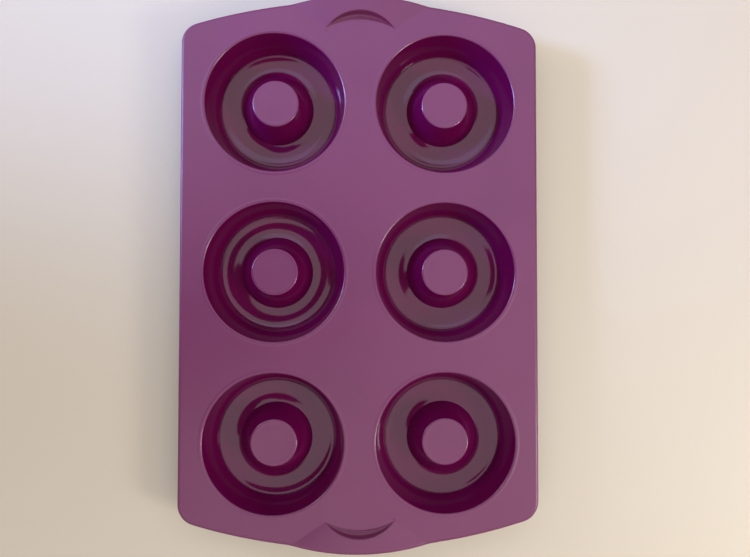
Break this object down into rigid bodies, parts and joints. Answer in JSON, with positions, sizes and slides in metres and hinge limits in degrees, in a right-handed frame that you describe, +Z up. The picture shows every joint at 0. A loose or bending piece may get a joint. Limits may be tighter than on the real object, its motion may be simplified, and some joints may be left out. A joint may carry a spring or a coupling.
{
  "type": "silicone soap mould",
  "caption": "Flexible silicone mould with ring-shaped cavities around closed centre posts, in a flat deck with a raised thumb grip at each bowed end.",
  "frame": {"origin": "centre of the mould's footprint, on the surface it stands on", "axes": "+X across the two columns of cavities, +Y along the three rows towards the rear grip, +Z up"},
  "size_m": [0.213, 0.329, 0.0257],
  "materials": {
    "matte_silicone": "satin",
    "gloss_silicone": "gloss"
  },
  "bodies": {
    "row_middle": {"deck_middle": "matte_silicone", "cup_wall_middle_left": "gloss_silicone", "cup_wall_middle_right": "gloss_silicone"},
    "row_rear": {"deck_rear": "matte_silicone", "row_flex_strip_rear": "matte_silicone", "grip_flex_strip_rear": "matte_silicone", "cup_wall_rear_left": "gloss_silicone", "cup_wall_rear_right": "gloss_silicone"},
    "row_front": {"deck_front": "matte_silicone", "row_flex_strip_front": "matte_silicone", "grip_flex_strip_front": "matte_silicone", "cup_wall_front_left": "gloss_silicone", "cup_wall_front_right": "gloss_silicone"},
    "grip_rear": {"thumb_rest_rear": "matte_silicone", "end_flank_left_rear": "matte_silicone", "end_flank_right_rear": "matte_silicone", "grip_tab_rear": "matte_silicone"},
    "grip_front": {"thumb_rest_front": "matte_silicone", "end_flank_left_front": "matte_silicone", "end_flank_right_front": "matte_silicone", "grip_tab_front": "matte_silicone"},
    "cup_rear_left": {"cup_floor_rear_left": "gloss_silicone", "post_rear_left": "gloss_silicone"},
    "cup_rear_right": {"cup_floor_rear_right": "gloss_silicone", "post_rear_right": "gloss_silicone"},
    "cup_middle_left": {"cup_floor_middle_left": "gloss_silicone", "post_middle_left": "gloss_silicone"},
    "cup_middle_right": {"cup_floor_middle_right": "gloss_silicone", "post_middle_right": "gloss_silicone"},
    "cup_front_left": {"cup_floor_front_left": "gloss_silicone", "post_front_left": "gloss_silicone"},
    "cup_front_right": {"cup_floor_front_right": "gloss_silicone", "post_front_right": "gloss_silicone"}
  },
  "joints": [
    {"name": "fold_rear_row", "type": "hinge", "parent": "row_middle", "child": "row_rear", "pos_m": [0, 0.05065, 0.0199], "axis": [1, 0, 0], "range_deg": [-50, 90], "stiffness_Nm_per_rad": 0.05, "deforming": ["row_flex_strip_rear"]},
    {"name": "bend_rear_grip", "type": "hinge", "parent": "row_rear", "child": "grip_rear", "pos_m": [0, 0.14765, 0.0199], "axis": [1, 0, 0], "range_deg": [-30, 30], "stiffness_Nm_per_rad": 0.04, "deforming": ["grip_flex_strip_rear"]},
    {"name": "fold_front_row", "type": "hinge", "parent": "row_middle", "child": "row_front", "pos_m": [0, -0.05065, 0.0199], "axis": [-1, 0, 0], "range_deg": [-50, 90], "stiffness_Nm_per_rad": 0.05, "deforming": ["row_flex_strip_front"]},
    {"name": "bend_front_grip", "type": "hinge", "parent": "row_front", "child": "grip_front", "pos_m": [0, -0.14765, 0.0199], "axis": [-1, 0, 0], "range_deg": [-30, 30], "stiffness_Nm_per_rad": 0.04, "deforming": ["grip_flex_strip_front"]},
    {"name": "push_out_rear_left", "type": "slide", "parent": "row_rear", "child": "cup_rear_left", "axis": [0, 0, 1], "range_m": [0, 0.01], "stiffness_N_per_m": 1000},
    {"name": "push_out_rear_right", "type": "slide", "parent": "row_rear", "child": "cup_rear_right", "axis": [0, 0, 1], "range_m": [0, 0.01], "stiffness_N_per_m": 1000},
    {"name": "push_out_middle_left", "type": "slide", "parent": "row_middle", "child": "cup_middle_left", "axis": [0, 0, 1], "range_m": [0, 0.01], "stiffness_N_per_m": 1000},
    {"name": "push_out_middle_right", "type": "slide", "parent": "row_middle", "child": "cup_middle_right", "axis": [0, 0, 1], "range_m": [0, 0.01], "stiffness_N_per_m": 1000},
    {"name": "push_out_front_left", "type": "slide", "parent": "row_front", "child": "cup_front_left", "axis": [0, 0, 1], "range_m": [0, 0.01], "stiffness_N_per_m": 1000},
    {"name": "push_out_front_right", "type": "slide", "parent": "row_front", "child": "cup_front_right", "axis": [0, 0, 1], "range_m": [0, 0.01], "stiffness_N_per_m": 1000}
  ]
}
